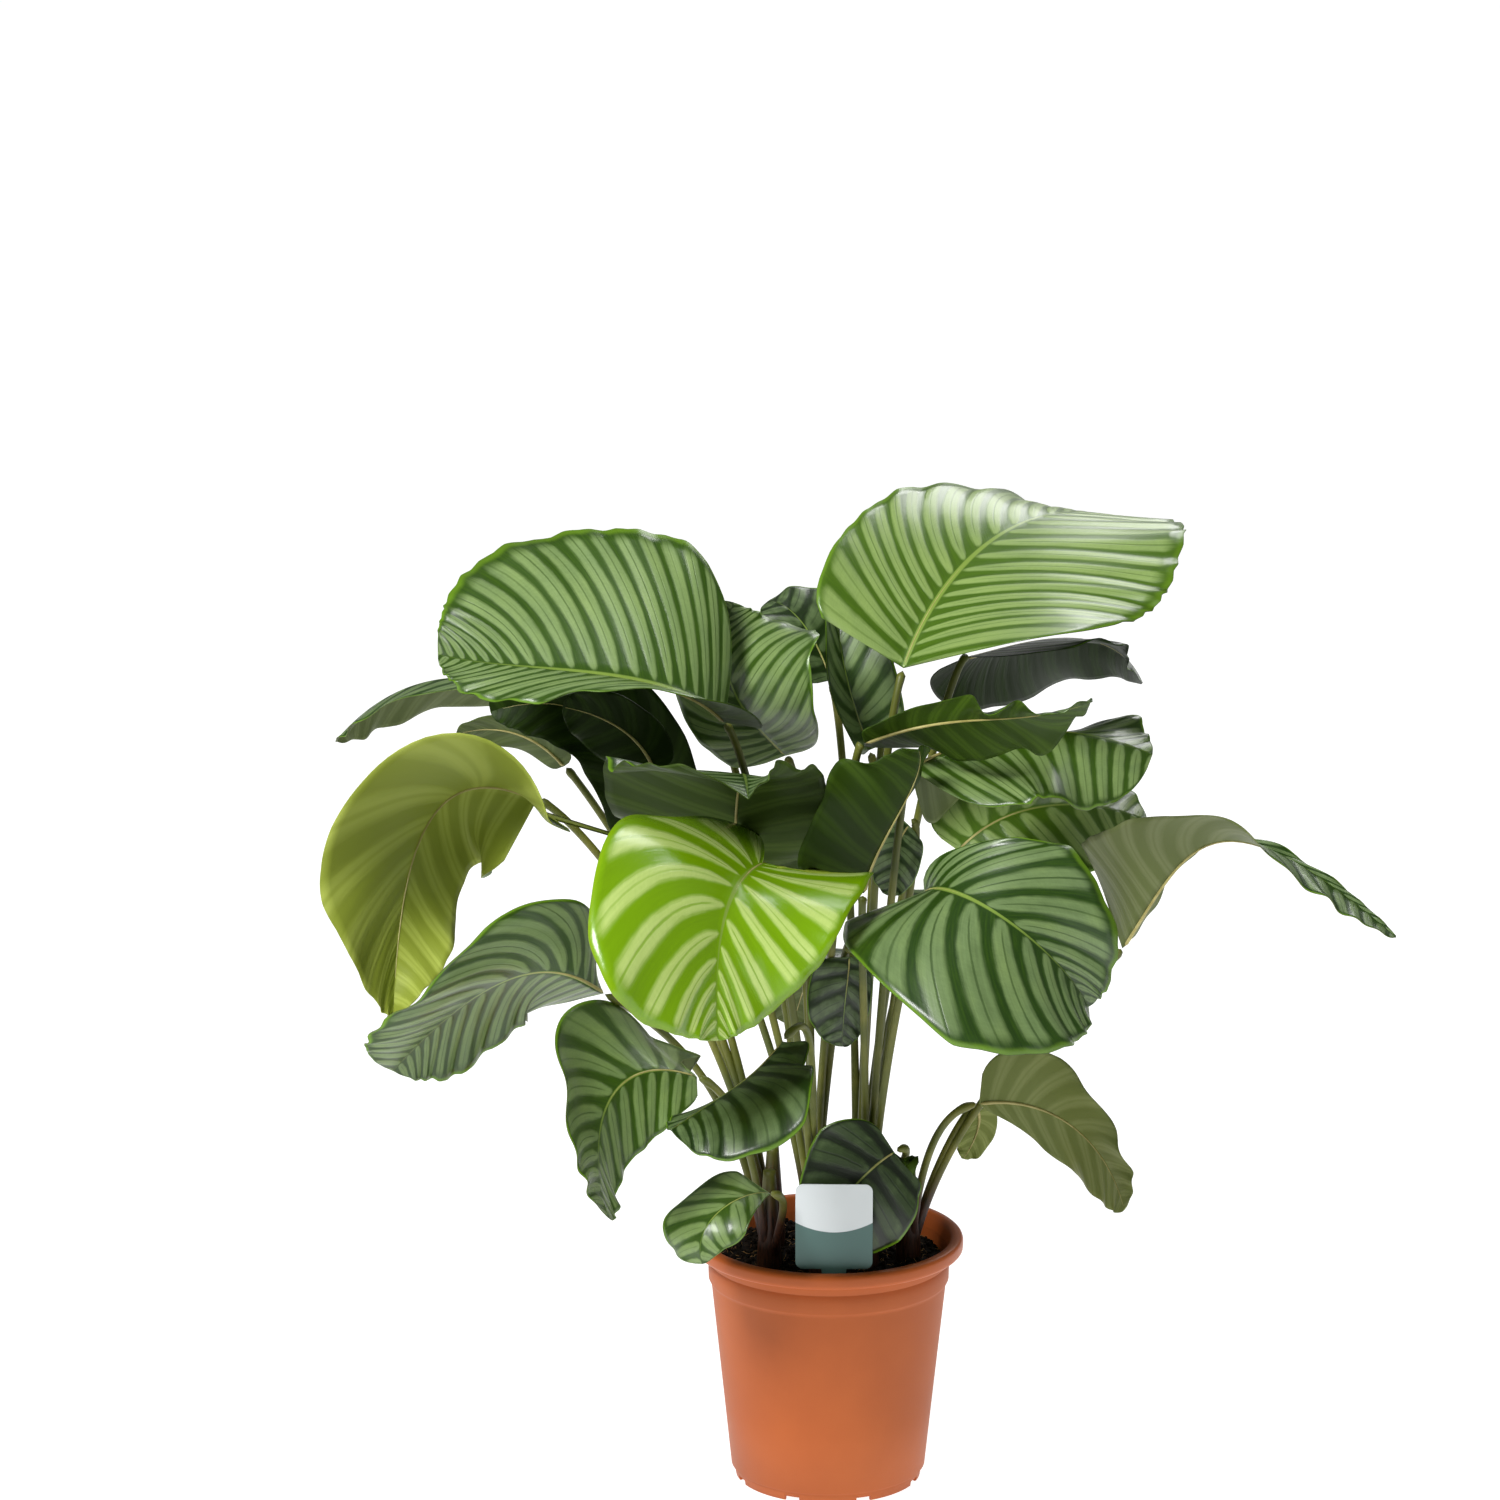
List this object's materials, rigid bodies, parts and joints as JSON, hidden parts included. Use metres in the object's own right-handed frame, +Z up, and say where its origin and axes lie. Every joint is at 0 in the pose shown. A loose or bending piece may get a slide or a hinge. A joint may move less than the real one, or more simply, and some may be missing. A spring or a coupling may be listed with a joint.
{
  "type": "potted calathea orbifolia",
  "caption": "Calathea orbifolia with broad silver-banded leaves on slender stalks, growing in soil in a round tapered nursery pot with a blank plant tag.",
  "frame": {"origin": "centre of the pot's underside", "axes": "+Z up along the pot's axis, -Y towards the side that the picture shows, +X to that side's right"},
  "size_m": [0.8205, 0.6483, 0.7681],
  "materials": {
    "leaf_green": "satin",
    "leaf_lime": "gloss",
    "stalk": "satin",
    "pot": "matte",
    "soil": "matte",
    "tag": "satin"
  },
  "bodies": {
    "root": {"pot": "pot", "soil": "soil", "tag": "tag", "shoot_back_left": "stalk", "shoot_front_left": "stalk", "shoot_front": "stalk", "shoot_centre": "stalk", "shoot_back_right": "stalk", "shoot_front_right": "stalk", "shoot_right": "stalk", "leaf_top_left": "leaf_green", "leaf_top_right": "leaf_green", "leaf_top_right_lower": "leaf_green", "leaf_twisted": "leaf_green", "leaf_right_shelf": "leaf_green", "leaf_centre_turned": "leaf_green", "leaf_centre_narrow": "leaf_green", "leaf_crown_left": "leaf_green", "leaf_crown_narrow": "leaf_green", "leaf_crown_back": "leaf_green", "leaf_centre_cupped": "leaf_green", "leaf_lime": "leaf_lime", "leaf_right_broad": "leaf_green", "leaf_right_reaching": "leaf_green", "leaf_left_hanging": "leaf_green", "leaf_left_low": "leaf_green", "leaf_front_left_drooping": "leaf_green", "leaf_front_crescent": "leaf_green", "leaf_front_small": "leaf_green", "leaf_behind_tag": "leaf_green", "leaf_right_low": "leaf_green", "leaf_right_bud": "leaf_green", "leaf_far_left": "leaf_green", "leaf_left_rolled": "leaf_green", "leaf_left_sliver": "leaf_green", "leaf_under_top_left": "leaf_green", "leaf_right_lit": "leaf_green", "leaf_inner_round": "leaf_green", "leaf_back_left": "leaf_green", "leaf_back_right": "leaf_green", "leaf_back_upper_left": "leaf_green", "leaf_back_upper_right": "leaf_green", "leaf_back_low": "leaf_green"}
  },
  "joints": []
}
